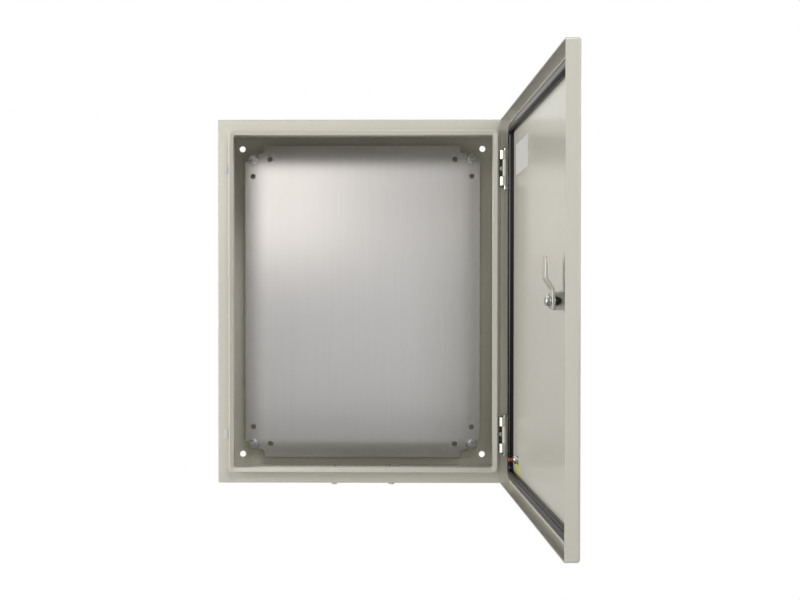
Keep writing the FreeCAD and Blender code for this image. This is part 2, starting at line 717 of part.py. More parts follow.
# Foamed gasket on the door, which closes on the raised lip.
gasket = body("door_gasket")
drawing = sketch(gasket, "XZ_Plane", "door_inner")
rounded(drawing, "gasket_half_x", "gasket_half_z", "gasket_corner")
rounded(drawing, "gasket_half_x - gasket_width", "gasket_half_z - gasket_width", "gasket_inner_corner")
pad(gasket, drawing, "gasket_height", backwards=True)
gasket_face = value_of("gasket_height - door_inner")
fillet(gasket, lambda edge: lies_at(edge, gasket_face), "gasket_edge")
hang_on_door(gasket)

# Quarter-turn lock through the door.
housing = body("lock_housing")
drawing = sketch(housing, "XZ_Plane", "door_front + lock_seal_thickness")
circle(drawing, "lock_flange_radius", "lock_x")
pad(housing, drawing, "lock_flange_thickness")
drawing = sketch(housing, "XZ_Plane", "door_front + lock_seal_thickness")
circle(drawing, "lock_barrel_radius", "lock_x")
pad(housing, drawing, "lock_seal_thickness + door_sheet + lock_barrel_reach", backwards=True)
drawing = sketch(housing, "XZ_Plane", "door_front + lock_seal_thickness + lock_flange_thickness")
circle(drawing, "rotor_radius + rotor_clearance", "lock_x")
pocket(housing, drawing, "lock_flange_thickness + lock_seal_thickness + door_sheet + lock_barrel_reach")
hang_on_door(housing)
hang_on_door(node("lock_seal", ring("lock_flange_radius", "lock_barrel_radius", "lock_seal_thickness",
                                    "lock_x", "0 - door_front", "0", FORWARD)))
hang_on_door(node("lock_nut", nut("lock_nut_flats", "lock_barrel_radius", "lock_nut_height",
                                  "lock_x", "0 - door_inner + lock_nut_height", "0", FORWARD)))

spindle = body("lock_spindle")
drawing = sketch(spindle, "XZ_Plane", "door_front + lock_seal_thickness + lock_flange_thickness")
circle(drawing, "rotor_radius", "lock_x")
rotor_length = "lock_flange_thickness + lock_seal_thickness + door_sheet + lock_barrel_reach + cam_clearance"
pad(spindle, drawing, rotor_length, backwards=True)
drawing = sketch(spindle, "XZ_Plane", "door_inner - lock_barrel_reach - cam_clearance")
rectangle(drawing, "rotor_square / 2", "rotor_square / 2", "lock_x")
pad(spindle, drawing, "cam_thickness", backwards=True)
drawing = sketch(spindle, "XZ_Plane", "door_front + lock_seal_thickness + lock_flange_thickness")
circle(drawing, "key_radius", "lock_x")
circle(drawing, "key_post_radius", "lock_x")
pocket(spindle, drawing, "key_depth")
drawing = sketch(spindle, "XZ_Plane", "door_front + lock_seal_thickness + lock_flange_thickness")
for side in (-1, 1):
    half = "(key_slot_length - key_radius) / 4"
    rectangle(drawing, half, "key_slot_width / 2", "lock_x + %d * (key_slot_length + key_radius) / 4" % side)
pocket(spindle, drawing, "key_depth")
drawing = sketch(spindle, "XZ_Plane", "door_inner - lock_barrel_reach - cam_clearance - cam_thickness")
circle(drawing, "cam_screw_radius", "lock_x")
pocket(spindle, drawing, "cam_screw_depth", forwards=True)
hang_on_door(spindle)

# The cam is a flat bar with a crank, so its tip passes behind the lip.
cam = body("lock_cam")
drawing = sketch(cam, "YZ_Plane", "lock_x - cam_width / 2")
near = "0 - door_inner + lock_barrel_reach + cam_clearance"
far, stepped = near + " + cam_thickness", near + " + cam_step"
polygon(drawing, [(near, "0 - cam_tail"), (far, "0 - cam_tail"),
                  (far, "cam_bend_start"), (far + " + cam_step", "cam_bend_end"),
                  (far + " + cam_step", "cam_length"), (stepped, "cam_length"),
                  (stepped, "cam_bend_end + cam_lean"), (near, "cam_bend_start + cam_lean")])
pad(cam, drawing, "cam_width")
drawing = sketch(cam, "XZ_Plane", "door_inner - lock_barrel_reach - cam_clearance")
rectangle(drawing, "rotor_square / 2", "rotor_square / 2", "lock_x")
pocket(cam, drawing, "cam_thickness")
ends = [value_of("cam_length"), value_of("0 - cam_tail")]
fillet(cam, lambda edge: any(lies_on_level(edge, level) and edge.BoundBox.XLength < TOLERANCE for level in ends),
       "cam_end_radius")
inner_bends = [value_of("cam_bend_start"), value_of("cam_bend_end + cam_lean")]
outer_bends = [value_of("cam_bend_start + cam_lean"), value_of("cam_bend_end")]
fillet(cam, lambda edge: any(lies_on_level(edge, level) for level in inner_bends), "cam_bend_radius")
fillet(cam, lambda edge: any(lies_on_level(edge, level) for level in outer_bends),
       "cam_bend_radius + cam_thickness")
hang_on_door(cam)
cam_back = "0 - door_inner + lock_barrel_reach + cam_clearance + cam_thickness"
hang_on_door(node("cam_washer", ring("cam_washer_radius", "cam_screw_radius", "cam_washer_thickness",
                                     "lock_x", cam_back + " + cam_washer_thickness", "0", FORWARD)))
head = hexagon("cam_screw_flats", "cam_screw_head", "lock_x",
               cam_back + " + cam_washer_thickness + cam_screw_head", "0", FORWARD)
shank = cylinder("cam_screw_radius", "cam_washer_thickness + cam_screw_depth - cam_screw_spare", "lock_x",
                 cam_back + " + cam_washer_thickness", "0", FORWARD)
hang_on_door(node("cam_screw", fuse(head, shank)))

# Earth stud, its washer and nut, and the two bare labels inside the door.
stud_x, stud_z = "hinge_x - door_stud_from_hinge", "door_stud_z"
inner = "0 - door_inner"
hang_on_door(group("door_earth_stud", [cylinder("door_stud_radius", "door_stud_length",
                                                stud_x, inner + " + door_stud_length", stud_z, FORWARD)]))
hang_on_door(node("door_earth_washer", ring("door_stud_washer_radius", "door_stud_radius",
                                            "door_stud_washer_thickness", stud_x,
                                            inner + " + door_stud_washer_thickness", stud_z, FORWARD)))
hang_on_door(node("door_earth_nut", nut("door_stud_nut_flats", "door_stud_radius", "door_stud_nut_height", stud_x,
                                        inner + " + door_stud_washer_thickness + door_stud_nut_height",
                                        stud_z, FORWARD)))
hang_on_door(group("rating_label", [box("label_width", "label_thickness", "label_height",
                                        "hinge_x - label_from_hinge - label_width", inner,
                                        "label_bottom")]))
hang_on_door(group("earth_label", [box("sticker_width", "label_thickness", "sticker_height",
                                       stud_x + " - sticker_width / 2", inner, "sticker_bottom")]))

doc.recompute()
for obj in doc.Objects:
    if "Invalid" in obj.State or "Error" in obj.State:
        raise RuntimeError("%s failed: %s" % (obj.Label, obj.State))
for label, obj in nodes.items():
    if obj.Shape.isNull() or not obj.Shape.isValid() or not obj.Shape.Solids:
        raise RuntimeError("%s has no valid shape" % label)

os.makedirs("parts", exist_ok=True)
for label, obj in nodes.items():
    obj.Shape.exportStep("parts/%s.step" % label)
    bounds = obj.Shape.BoundBox
    print("%-24s solids %d  volume %10.1f  x %.1f..%.1f  y %.1f..%.1f  z %.1f..%.1f" % (
        label, len(obj.Shape.Solids), obj.Shape.Volume,
        bounds.XMin, bounds.XMax, bounds.YMin, bounds.YMax, bounds.ZMin, bounds.ZMax))
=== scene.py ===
# %% [markdown]
# A steel wall enclosure with its door swung open, photographed square from the front against white.
# The sheet-metal pieces come finished from the frame: they keep their shape and only get a surface.
# What follows sets up the view and the light, then one finish after another, then the small hardware
# that needs a closer shape than the frame holds. Blender counts in metres, so MM turns a length in
# millimetres into them.

# %% Load the frame
import json
import math

import bpy
from mathutils import Matrix, Vector


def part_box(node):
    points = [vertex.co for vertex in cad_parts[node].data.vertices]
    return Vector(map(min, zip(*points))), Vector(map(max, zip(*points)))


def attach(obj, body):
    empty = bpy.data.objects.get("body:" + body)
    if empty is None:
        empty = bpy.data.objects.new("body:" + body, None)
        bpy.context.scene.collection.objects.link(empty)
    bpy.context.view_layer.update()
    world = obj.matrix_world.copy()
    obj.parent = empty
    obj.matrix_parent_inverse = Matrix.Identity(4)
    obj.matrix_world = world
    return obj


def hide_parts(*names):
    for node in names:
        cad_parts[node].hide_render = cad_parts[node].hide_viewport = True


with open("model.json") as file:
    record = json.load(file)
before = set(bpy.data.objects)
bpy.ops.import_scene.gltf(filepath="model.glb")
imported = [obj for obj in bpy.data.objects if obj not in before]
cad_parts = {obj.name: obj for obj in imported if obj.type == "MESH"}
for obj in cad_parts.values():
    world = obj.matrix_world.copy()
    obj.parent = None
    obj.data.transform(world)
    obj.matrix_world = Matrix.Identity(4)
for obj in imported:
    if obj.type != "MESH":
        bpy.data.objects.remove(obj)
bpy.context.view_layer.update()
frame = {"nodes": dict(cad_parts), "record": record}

nodes = frame["nodes"]
SLOT_OF = {part["node"]: part["material_slot"] for part in frame["record"]["subparts"]}
MM = 0.001
print("pieces in the frame:", len(nodes))


# %% [markdown]
# The camera stands where the photographer stood: level with the middle of the cabinet, 1.3 m in front
# of it. Its place was worked out from the straight edges of the body and of the open door. Those edges
# also tell the lens, and a small shift puts the picture's centre where the photograph has it, which
# turning the camera would not do without bending the square front out of square.

# %% Camera
PHOTO_WIDTH = 800
PHOTO_HEIGHT = 600
FOCAL_PIXELS = 944.7
CENTRE_PIXEL = (345.9, 314.35)
CAMERA_PLACE = (-11.1 * MM, -1443.2 * MM, -2.3 * MM)
CAMERA_PITCH = 0.0117
CAMERA_YAW = -0.0097
SENSOR = 36.0

camera_data = bpy.data.cameras.new("photo_camera")
camera_data.sensor_width = SENSOR
camera_data.lens = FOCAL_PIXELS * SENSOR / PHOTO_WIDTH
camera_data.shift_x = (PHOTO_WIDTH / 2 - CENTRE_PIXEL[0]) / PHOTO_WIDTH
camera_data.shift_y = (CENTRE_PIXEL[1] - PHOTO_HEIGHT / 2) / PHOTO_WIDTH
camera = bpy.data.objects.new("photo_camera", camera_data)
camera.location = CAMERA_PLACE
camera.rotation_euler = (math.pi / 2 - CAMERA_PITCH, 0, -CAMERA_YAW)
bpy.context.scene.collection.objects.link(camera)
bpy.context.scene.camera = camera
bpy.context.scene.view_settings.view_transform = "Standard"
print("lens %.1f mm" % camera_data.lens)


# %% [markdown]
# Colours are read off as ordinary screen colours, but a shader wants linear light. One function turns
# a hex colour into linear values by the usual sRGB curve, and one more adds a node, sets it and wires
# it, so that each finish below reads as a short list of what feeds what.

# %% Colour and node helpers
def linear(code):
    """A screen colour such as #d2d0c5 as linear red, green and blue, with full alpha."""
    channels = []
    for start in (1, 3, 5):
        screen = int(code[start:start + 2], 16) / 255
        if screen <= 0.04045:
            channels.append(screen / 12.92)
        else:
            channels.append(((screen + 0.055) / 1.055) ** 2.4)
    return (*channels, 1.0)


def add(tree, kind, inputs=None, **settings):
    """Add a node, set its properties, and give each named socket a value or another's output."""
    made = tree.nodes.new(kind)
    for name, value in settings.items():
        setattr(made, name, value)
    for key, value in (inputs or {}).items():
        if isinstance(value, bpy.types.NodeSocket):
            tree.links.new(value, made.inputs[key])
        else:
            made.inputs[key].default_value = value
    return made


def new_material(name):
    """An empty node material: its tree, its surface shader and the object's own coordinates."""
    material = bpy.data.materials.new(name)
    material.use_nodes = True
    tree = material.node_tree
    tree.nodes.clear()
    shader = add(tree, "ShaderNodeBsdfPrincipled")
    output = add(tree, "ShaderNodeOutputMaterial")
    tree.links.new(shader.outputs[0], output.inputs["Surface"])
    place = add(tree, "ShaderNodeTexCoord").outputs["Object"]
    return material, tree, shader, place


print("middle grey in linear light: %.3f" % linear("#808080")[0])


# %% [markdown]
# The cabinet hangs well clear of the ground, so the floor lies below the picture and only the other
# views show it. It is no part of the object, so a plain matt plane is enough.

# %% Floor
FLOOR_LEVEL = -0.76
FLOOR_SIZE = 2.6
FLOOR_MIDDLE = -0.45

bpy.ops.mesh.primitive_plane_add(size=FLOOR_SIZE, location=(0, FLOOR_MIDDLE, FLOOR_LEVEL))
floor = bpy.context.object
floor.name = "studio_floor"
material, tree, shader, place = new_material("matt_floor_paint")
shader.inputs["Base Color"].default_value = linear("#dedddb")
shader.inputs["Roughness"].default_value = 0.8
floor.data.materials.append(material)
print("floor %.2f m below the cabinet's middle" % -FLOOR_LEVEL)


# %% [markdown]
# Behind the cabinet is plain white. A lit wall would give that too, but it would also throw light on
# the object, so the white is put in the world and shown to some rays only: to the camera, to rays that
# pass through something clear, and to reflections that look past the cabinet. Reflections that look
# low down see it dimmer, and those that look back to the camera's side see black. Apart from those
# reflections, all the light on the object comes from the lamps.

# %% White behind the cabinet
PAST_CABINET = (-0.1, 0.3)
LOW_DOWN = (-0.2, 0.05)
LOW_WHITE = 0.4

world = bpy.data.worlds.new("studio")
bpy.context.scene.world = world
world.use_nodes = True
tree = world.node_tree
tree.nodes.clear()
direction = add(tree, "ShaderNodeTexCoord").outputs["Generated"]
split = add(tree, "ShaderNodeSeparateXYZ", {"Vector": direction})
behind = add(tree, "ShaderNodeMapRange",
             {"Value": split.outputs["Y"], "From Min": PAST_CABINET[0], "From Max": PAST_CABINET[1]})
above = add(tree, "ShaderNodeMapRange",
            {"Value": split.outputs["Z"], "From Min": LOW_DOWN[0], "From Max": LOW_DOWN[1],
             "To Min": LOW_WHITE, "To Max": 1.0})
ray = add(tree, "ShaderNodeLightPath")
backdrop = add(tree, "ShaderNodeMath",
               {0: behind.outputs["Result"], 1: above.outputs["Result"]}, operation="MULTIPLY")
mirrored = add(tree, "ShaderNodeMath",
               {0: ray.outputs["Is Glossy Ray"], 1: backdrop.outputs[0]}, operation="MULTIPLY")
straight = add(tree, "ShaderNodeMath",
               {0: ray.outputs["Is Camera Ray"], 1: ray.outputs["Is Transmission Ray"]},
               operation="MAXIMUM")
seen = add(tree, "ShaderNodeMath",
           {0: mirrored.outputs[0], 1: straight.outputs[0]}, operation="MAXIMUM")
white = add(tree, "ShaderNodeBackground", {"Color": linear("#ffffff"), "Strength": seen.outputs[0]})
add(tree, "ShaderNodeOutputWorld", {"Surface": white.outputs[0]})
print("world nodes:", len(tree.nodes))


# %% [markdown]
# Two large softboxes far to the left, close to the plane of the front, do most of the work: they light
# the inside of the open door and graze the flanges. One high in front leaves the underside of the top
# wall dark; weaker ones fill from the right and the front. The two glows are small lamps placed where
# the mounting plate mirrors them, one for the bright patch at its upper left and one for its lower
# part. One more stands behind, so that the back and the outside of the door are lit in other views.

# %% Lamps
LAMPS = {
    "left_softbox": {"place": (-2.2, -0.7, 0.5), "size": (1.2, 1.2), "power": 26},
    "left_low_softbox": {"place": (-2.2, -0.9, 0.05), "size": (1.2, 1.2), "power": 20},
    "right_fill": {"place": (1.6, -1.6, 0.5), "size": (1.2, 1.2), "power": 13},
    "high_front": {"place": (0.5, -1.6, 1.6), "size": (1.0, 1.0), "power": 20},
    "front_fill": {"place": (0, -2.6, 0.2), "size": (1.5, 1.5), "power": 7},
    "plate_glow": {"place": (-0.35, -2.0, 0.45), "size": (0.6, 0.6), "power": 2.1,
                   "tint": "#fff6ee"},
    "back_softbox": {"place": (0.9, 2.2, 0.7), "size": (1.5, 1.5), "power": 50},
    "table_glow": {"place": (0, -2.0, -0.52), "size": (1.6, 0.3), "power": 0.32},
}
LAMP_AIM = Vector((0, -0.1, 0))
for name, lamp in LAMPS.items():
    light = bpy.data.lights.new(name, "AREA")
    light.shape = "RECTANGLE"
    light.size, light.size_y = lamp["size"]
    light.energy = lamp["power"]
    light.color = linear(lamp.get("tint", "#ffffff"))[:3]
    holder = bpy.data.objects.new(name, light)
    holder.location = lamp["place"]
    sight = LAMP_AIM - Vector(lamp["place"])
    holder.rotation_euler = sight.to_track_quat("-Z", "Y").to_euler()
    bpy.context.scene.collection.objects.link(holder)
print("lamps:", len(LAMPS))


# %% [markdown]
# Body, back and door are sheet steel with a polyester powder coat, baked on. The powder melts into a
# fine orange-peel skin that blurs reflections a little. Real peel is a matter of hundredths of a
# millimetre, so it is a bump and not a shape: a noise about 1 mm wide, and a second, broad one that
# keeps the large flat walls from looking printed.

# %% Powder-coated steel
POWDER_GREY = "#cbc9bd"
POWDER_ROUGHNESS = 0.2
POWDER_TONE = (0.985, 1.015)
CLOUDS_PER_METRE = 9.0
PEEL_MM = 1.1
PEEL_STRENGTH = 0.05
PEEL_DEPTH_MM = 0.2


def powder_coated_steel():
    material, tree, shader, place = new_material("powder_coated_steel")
    peel = add(tree, "ShaderNodeTexNoise",
               {"Vector": place, "Scale": 1 / (PEEL_MM * MM), "Detail": 3.0})
    cloud = add(tree, "ShaderNodeTexNoise",
                {"Vector": place, "Scale": CLOUDS_PER_METRE, "Detail": 2.0})
    tone = add(tree, "ShaderNodeMapRange",
               {"Value": cloud.outputs["Fac"], "To Min": POWDER_TONE[0], "To Max": POWDER_TONE[1]})
    colour = add(tree, "ShaderNodeHueSaturation",
                 {"Color": linear(POWDER_GREY), "Value": tone.outputs["Result"]})
    bump = add(tree, "ShaderNodeBump",
               {"Height": peel.outputs["Fac"], "Strength": PEEL_STRENGTH,
                "Distance": PEEL_DEPTH_MM * MM})
    tree.links.new(colour.outputs["Color"], shader.inputs["Base Color"])
    tree.links.new(bump.outputs["Normal"], shader.inputs["Normal"])
    shader.inputs["Roughness"].default_value = POWDER_ROUGHNESS
    return material


print("powder coat", POWDER_GREY, "with a peel of", PEEL_MM, "mm")


# %% [markdown]
# The mounting plate is bare zinc-coated sheet with a rolled grain that runs up and down. One noise
# stretched along the plate gives the thin streaks in colour, roughness and bump, and a broader one
# gives bands a few millimetres wide. The shader's own anisotropy draws each highlight out across the
# grain, which no bump that fine could do. The coat's thin oxide film scatters some light, so the
# surface is not quite full metal.

# %% Zinc-coated sheet
ZINC_GREY = "#c7c6c5"
ZINC_TONE = (0.96, 1.02)
ZINC_ROUGHNESS = (0.22, 0.28)
ZINC_ANISOTROPY = 0.5
ZINC_METALLIC = 0.7
GRAIN_MM = 0.35
GRAIN_LENGTH_MM = 70
BANDS_PER_METRE = (350, 350, 6)
TWO_NOISES = (0.6, 1.4)
GRAIN_STRENGTH = 0.15
GRAIN_DEPTH_MM = 0.1


def zinc_coated_sheet():
    material, tree, shader, place = new_material("zinc_coated_sheet")
    stretch = (1 / (GRAIN_MM * MM), 1 / (GRAIN_MM * MM), 1 / (GRAIN_LENGTH_MM * MM))
    along = add(tree, "ShaderNodeMapping", {"Vector": place, "Scale": stretch})
    streak = add(tree, "ShaderNodeTexNoise",
                 {"Vector": along.outputs["Vector"], "Scale": 1.0, "Detail": 4.0})
    broad = add(tree, "ShaderNodeMapping", {"Vector": place, "Scale": BANDS_PER_METRE})
    band = add(tree, "ShaderNodeTexNoise",
               {"Vector": broad.outputs["Vector"], "Scale": 1.0, "Detail": 2.0})
    both = add(tree, "ShaderNodeMath",
               {0: streak.outputs["Fac"], 1: band.outputs["Fac"]}, operation="ADD")
    tone = add(tree, "ShaderNodeMapRange",
               {"Value": both.outputs[0], "From Min": TWO_NOISES[0], "From Max": TWO_NOISES[1],
                "To Min": ZINC_TONE[0], "To Max": ZINC_TONE[1]})
    colour = add(tree, "ShaderNodeHueSaturation",
                 {"Color": linear(ZINC_GREY), "Value": tone.outputs["Result"]})
    rough = add(tree, "ShaderNodeMapRange",
                {"Value": streak.outputs["Fac"], "To Min": ZINC_ROUGHNESS[0],
                 "To Max": ZINC_ROUGHNESS[1]})
    grain_way = add(tree, "ShaderNodeTangent", direction_type="RADIAL", axis="Z")
    bump = add(tree, "ShaderNodeBump",
               {"Height": streak.outputs["Fac"], "Strength": GRAIN_STRENGTH,
                "Distance": GRAIN_DEPTH_MM * MM})
    tree.links.new(colour.outputs["Color"], shader.inputs["Base Color"])
    tree.links.new(rough.outputs["Result"], shader.inputs["Roughness"])
    tree.links.new(bump.outputs["Normal"], shader.inputs["Normal"])
    tree.links.new(grain_way.outputs["Tangent"], shader.inputs["Tangent"])
    shader.inputs["Anisotropic"].default_value = ZINC_ANISOTROPY
    shader.inputs["Metallic"].default_value = ZINC_METALLIC
    return material


print("zinc grain", GRAIN_MM, "by", GRAIN_LENGTH_MM, "mm")


# %% [markdown]
# Nuts, studs, washers and pins are steel with a bright zinc plate. The lock's cam and the hinge
# brackets are duller, and the brackets' recess, close to the body, is darkened with painted shade
# for the shade that falls between the arms. The lock's housing is a smooth casting plated with
# nickel. Plated pieces differ in tint, in roughness and in the width of their faint mottling, so one
# function makes them all. The painted shade is told from the arms by its depth in front of the wall.

# %% Plated hardware
PLATED_TONE = (0.9, 1.06)
PLATED_BUMP = 0.1
PLATED_DEPTH_MM = 0.1
ROUGHNESS_SPREAD = 0.2
# Depths in front of the wall over which the painted shade in the brackets' recess fades out.
PAINTED_SHADE_SPAN = (-146.5 * MM, -150.5 * MM)


def plated_metal(name, code, roughness, grain_mm, painted_shade_tone=1.0):
    """Plated metal; its faces close to the body's flange may be darkened with painted shade."""
    material, tree, shader, place = new_material(name)
    grain = add(tree, "ShaderNodeTexNoise",
                {"Vector": place, "Scale": 1 / (grain_mm * MM), "Detail": 3.0})
    tone = add(tree, "ShaderNodeMapRange",
               {"Value": grain.outputs["Fac"], "To Min": PLATED_TONE[0], "To Max": PLATED_TONE[1]})
    # Painted shade: the colour darkens towards the wall, down to the given tone, where the arms shade
    # the recess.
    depth = add(tree, "ShaderNodeSeparateXYZ", {"Vector": place})
    painted_shade = add(tree, "ShaderNodeMapRange",
                 {"Value": depth.outputs["Y"], "From Min": PAINTED_SHADE_SPAN[0], "From Max": PAINTED_SHADE_SPAN[1],
                  "To Min": painted_shade_tone, "To Max": 1.0})
    level = add(tree, "ShaderNodeMath",
                {0: tone.outputs["Result"], 1: painted_shade.outputs["Result"]}, operation="MULTIPLY")
    colour = add(tree, "ShaderNodeHueSaturation",
                 {"Color": linear(code), "Value": level.outputs[0]})
    rough = add(tree, "ShaderNodeMapRange",
                {"Value": grain.outputs["Fac"], "To Min": roughness * (1 - ROUGHNESS_SPREAD),
                 "To Max": roughness * (1 + ROUGHNESS_SPREAD)})
    bump = add(tree, "ShaderNodeBump",
               {"Height": grain.outputs["Fac"], "Strength": PLATED_BUMP,
                "Distance": PLATED_DEPTH_MM * MM})
    tree.links.new(colour.outputs["Color"], shader.inputs["Base Color"])
    tree.links.new(rough.outputs["Result"], shader.inputs["Roughness"])
    tree.links.new(bump.outputs["Normal"], shader.inputs["Normal"])
    shader.inputs["Metallic"].default_value = 1.0
    return material


print("recess of the hinge brackets: %.1f to %.1f mm deep" % (PAINTED_SHADE_SPAN[0] / MM, PAINTED_SHADE_SPAN[1] / MM))


# %% [markdown]
# The door's seal is foamed in place, black polyurethane with a closed, sleek skin. Plastic and label
# film are just as plain: a colour with a slight grain and a soft shine. They share one function, and
# their low specular level keeps black foam black where it mirrors a softbox.

# %% Foam, plastic and label film
DULL_TONE = (0.85, 1.15)
DULL_SPECULAR = 0.25
DULL_DEPTH_MM = 0.3


def dull_coat(name, code, roughness, grain_mm, bumpiness):
    """Foam, moulded plastic or film: a colour with a slight grain."""
    material, tree, shader, place = new_material(name)
    grain = add(tree, "ShaderNodeTexNoise",
                {"Vector": place, "Scale": 1 / (grain_mm * MM), "Detail": 4.0})
    tone = add(tree, "ShaderNodeMapRange",
               {"Value": grain.outputs["Fac"], "To Min": DULL_TONE[0], "To Max": DULL_TONE[1]})
    colour = add(tree, "ShaderNodeHueSaturation",
                 {"Color": linear(code), "Value": tone.outputs["Result"]})
    bump = add(tree, "ShaderNodeBump",
               {"Height": grain.outputs["Fac"], "Strength": bumpiness,
                "Distance": DULL_DEPTH_MM * MM})
    tree.links.new(colour.outputs["Color"], shader.inputs["Base Color"])
    tree.links.new(bump.outputs["Normal"], shader.inputs["Normal"])
    shader.inputs["Roughness"].default_value = roughness
    shader.inputs["Specular IOR Level"].default_value = DULL_SPECULAR
    return material


print("specular level of foam, plastic and film:", DULL_SPECULAR)


# %% [markdown]
# Each piece of the frame names the finish it was made with. Giving every piece its material by that
# name, in one loop, leaves no piece out, and pieces of one finish share one material.

# %% Give each piece of the frame its finish
FINISHES = {
    "powder_coat": powder_coated_steel(),
    "galvanised_sheet": zinc_coated_sheet(),
    "zinc_hardware": plated_metal("bright_zinc_plate", "#ced1d3", roughness=0.27, grain_mm=2.0),
    # The hinge brackets' recess is darkened to 0.12 with painted shade.
    "satin_zinc": plated_metal("satin_zinc_plate", "#e8e5da", roughness=0.5, grain_mm=1.2,
                               painted_shade_tone=0.12),
    "nickel_casting": plated_metal("nickel_plated_casting", "#b4b6b6", roughness=0.14,
                                   grain_mm=1.2),
    "foam_seal": dull_coat("black_foam_seal", "#101010", roughness=0.2, grain_mm=1.2,
                           bumpiness=0.08),
    "copper": plated_metal("copper_plate", "#b8674c", roughness=0.3, grain_mm=1.5),
    "grey_plastic": dull_coat("grey_polyethylene", "#cfcdd0", roughness=0.5, grain_mm=1.5,
                              bumpiness=0.1),
    "white_label": dull_coat("white_label_film", "#dcdcda", roughness=0.4, grain_mm=3.0,
                             bumpiness=0.05),
    "yellow_label": dull_coat("yellow_label_film", "#c8c355", roughness=0.4, grain_mm=3.0,
                              bumpiness=0.05),
}
for node, finish in SLOT_OF.items():
    piece = nodes[node]
    piece.data.materials.clear()
    piece.data.materials.append(FINISHES[finish])
print("finished", len(SLOT_OF), "pieces")


# %% [markdown]
# The small hardware is where a plain solid gives itself away: real nuts have turned corners, washers
# have soft edges and studs carry a thread. Each is shaped once, lying along +Z at the origin, with the
# same operators that one would use by hand. An operator acts on whatever is selected, so the first
# helpers select one piece, or those of its edges or faces whose place passes a test.

# %% Selecting
def only(*pieces):
    """Select these pieces and nothing else; the last one is active."""
    bpy.ops.object.select_all(action="DESELECT")
    for piece in pieces:
        piece.select_set(True)
    bpy.context.view_layer.objects.active = pieces[-1]


def pick(piece, wanted, kind="EDGE"):
    """Go into edit mode with only those edges or faces selected that pass a test."""
    only(piece)
    bpy.ops.object.mode_set(mode="EDIT")
    bpy.ops.mesh.select_mode(type=kind)
    bpy.ops.mesh.select_all(action="DESELECT")
    bpy.ops.object.mode_set(mode="OBJECT")
    mesh = piece.data
    found = mesh.edges if kind == "EDGE" else mesh.polygons
    for item in found:
        corners = [mesh.vertices[index].co for index in item.vertices]
        centre = sum(corners, Vector()) / len(corners)
        item.select = wanted(centre, corners)
    bpy.ops.object.mode_set(mode="EDIT")


def leave_edit():
    bpy.ops.object.mode_set(mode="OBJECT")


# %% [markdown]
# The next helpers apply a modifier at once, cut one piece out of another, and copy, join and move
# pieces. A finished piece keeps its object at the origin and its place in its mesh, as the frame's
# pieces do, so that patterns on its own coordinates stay where they are.

# %% Changing, copying and placing
UPWARD = (0, 0, 1)
DOWNWARD = (0, 0, -1)
OUTWARD = (0, -1, 0)
INWARD = (-1, 0, 0)


def modify(piece, kind, **settings):
    """Add a modifier and apply it straight away."""
    only(piece)
    modifier = piece.modifiers.new(kind.lower(), kind)
    for name, value in settings.items():
        setattr(modifier, name, value)
    bpy.ops.object.modifier_apply(modifier=modifier.name)


def carve(piece, tool, operation="DIFFERENCE"):
    """Cut a tool out of a piece, or keep only what they share, and delete the tool."""
    modify(piece, "BOOLEAN", object=tool, operation=operation, solver="EXACT")
    bpy.data.objects.remove(tool)


def set_down(piece, spot, way):
    """Turn +Z to a direction and move the piece, with the result kept in its mesh."""
    only(piece)
    piece.rotation_mode = "QUATERNION"
    piece.rotation_quaternion = Vector(UPWARD).rotation_difference(Vector(way))
    piece.location = Vector(spot)
    bpy.ops.object.transform_apply(location=True, rotation=True, scale=True)
    return piece


def copy_of(piece):
    twin = piece.copy()
    twin.data = piece.data.copy()
    bpy.context.scene.collection.objects.link(twin)
    return twin


def join(pieces):
    only(*pieces)
    if len(pieces) > 1:
        bpy.ops.object.join()
    return bpy.context.object


print("outward from the wall is", OUTWARD, "and from the open door's skin inward", INWARD)


# %% [markdown]
# Dressing a piece is the same each time: smooth it but keep its sharp edges, give it the finish of the
# node it stands for, and let it move with the right body. Like fasteners share one node, so a pattern
# is copied to each of its places and the copies are joined before they are dressed.

# %% Dressing
SMOOTH_BELOW = math.radians(32)
DRESSED = []


def dress(piece, name, body, node):
    """Name a finished piece, smooth it, finish it, and let it stand for its node."""
    only(piece)
    bpy.ops.object.shade_smooth_by_angle(angle=SMOOTH_BELOW)
    modify(piece, "WEIGHTED_NORMAL", keep_sharp=True)
    finish = SLOT_OF[node]
    piece.name = name
    piece.data.name = name
    piece.data.materials.clear()
    piece.data.materials.append(FINISHES[finish])
    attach(piece, body)
    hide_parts(node)
    DRESSED.append(name)
    print("%-24s %6d faces" % (name, len(piece.data.polygons)))


def dress_each(pattern, spots, way, name, body, node):
    """Set a copy of one pattern down at each spot and dress them all as one piece."""
    copies = [set_down(copy_of(pattern), spot, way) for spot in spots]
    bpy.data.objects.remove(pattern)
    dress(join(copies), name, body, node)


print("edges below %.0f degrees are smoothed" % math.degrees(SMOOTH_BELOW))


# %% [markdown]
# A hexagon nut is sawn from bar and turned at both ends, which leaves a round, sloped face with the
# six corners cut back in arcs. The quickest true way is to keep only what a hexagon and a chamfered
# disc share, then bore the hole with a small countersink. The disc is a hair wider than the hexagon,
# so that only its chamfers cut.

# %% Hexagon nut
LEVEL_TOLERANCE = 1e-6
BLANK_MARGIN = 1.002
CHAMFER_CIRCLE = 0.95
COUNTERSINK = 0.09
BORE_MARGIN = 1.02


def disc(radius, low, high, corners=64):
    """A cylinder round Z between two heights."""
    bpy.ops.mesh.primitive_cylinder_add(vertices=corners, radius=radius, depth=high - low,
                                        location=(0, 0, (low + high) / 2))
    bpy.ops.object.transform_apply(location=True)
    return bpy.context.object


def at_level(corners, level):
    return all(abs(corner.z - level) < LEVEL_TOLERANCE for corner in corners)


def bevel_ends(piece, levels, width, steps=1):
    """Bevel the edges that lie at the given heights."""
    pick(piece, lambda centre, corners: any(at_level(corners, level) for level in levels))
    bpy.ops.mesh.bevel(offset=width, segments=steps, affect="EDGES", clamp_overlap=False)
    leave_edit()


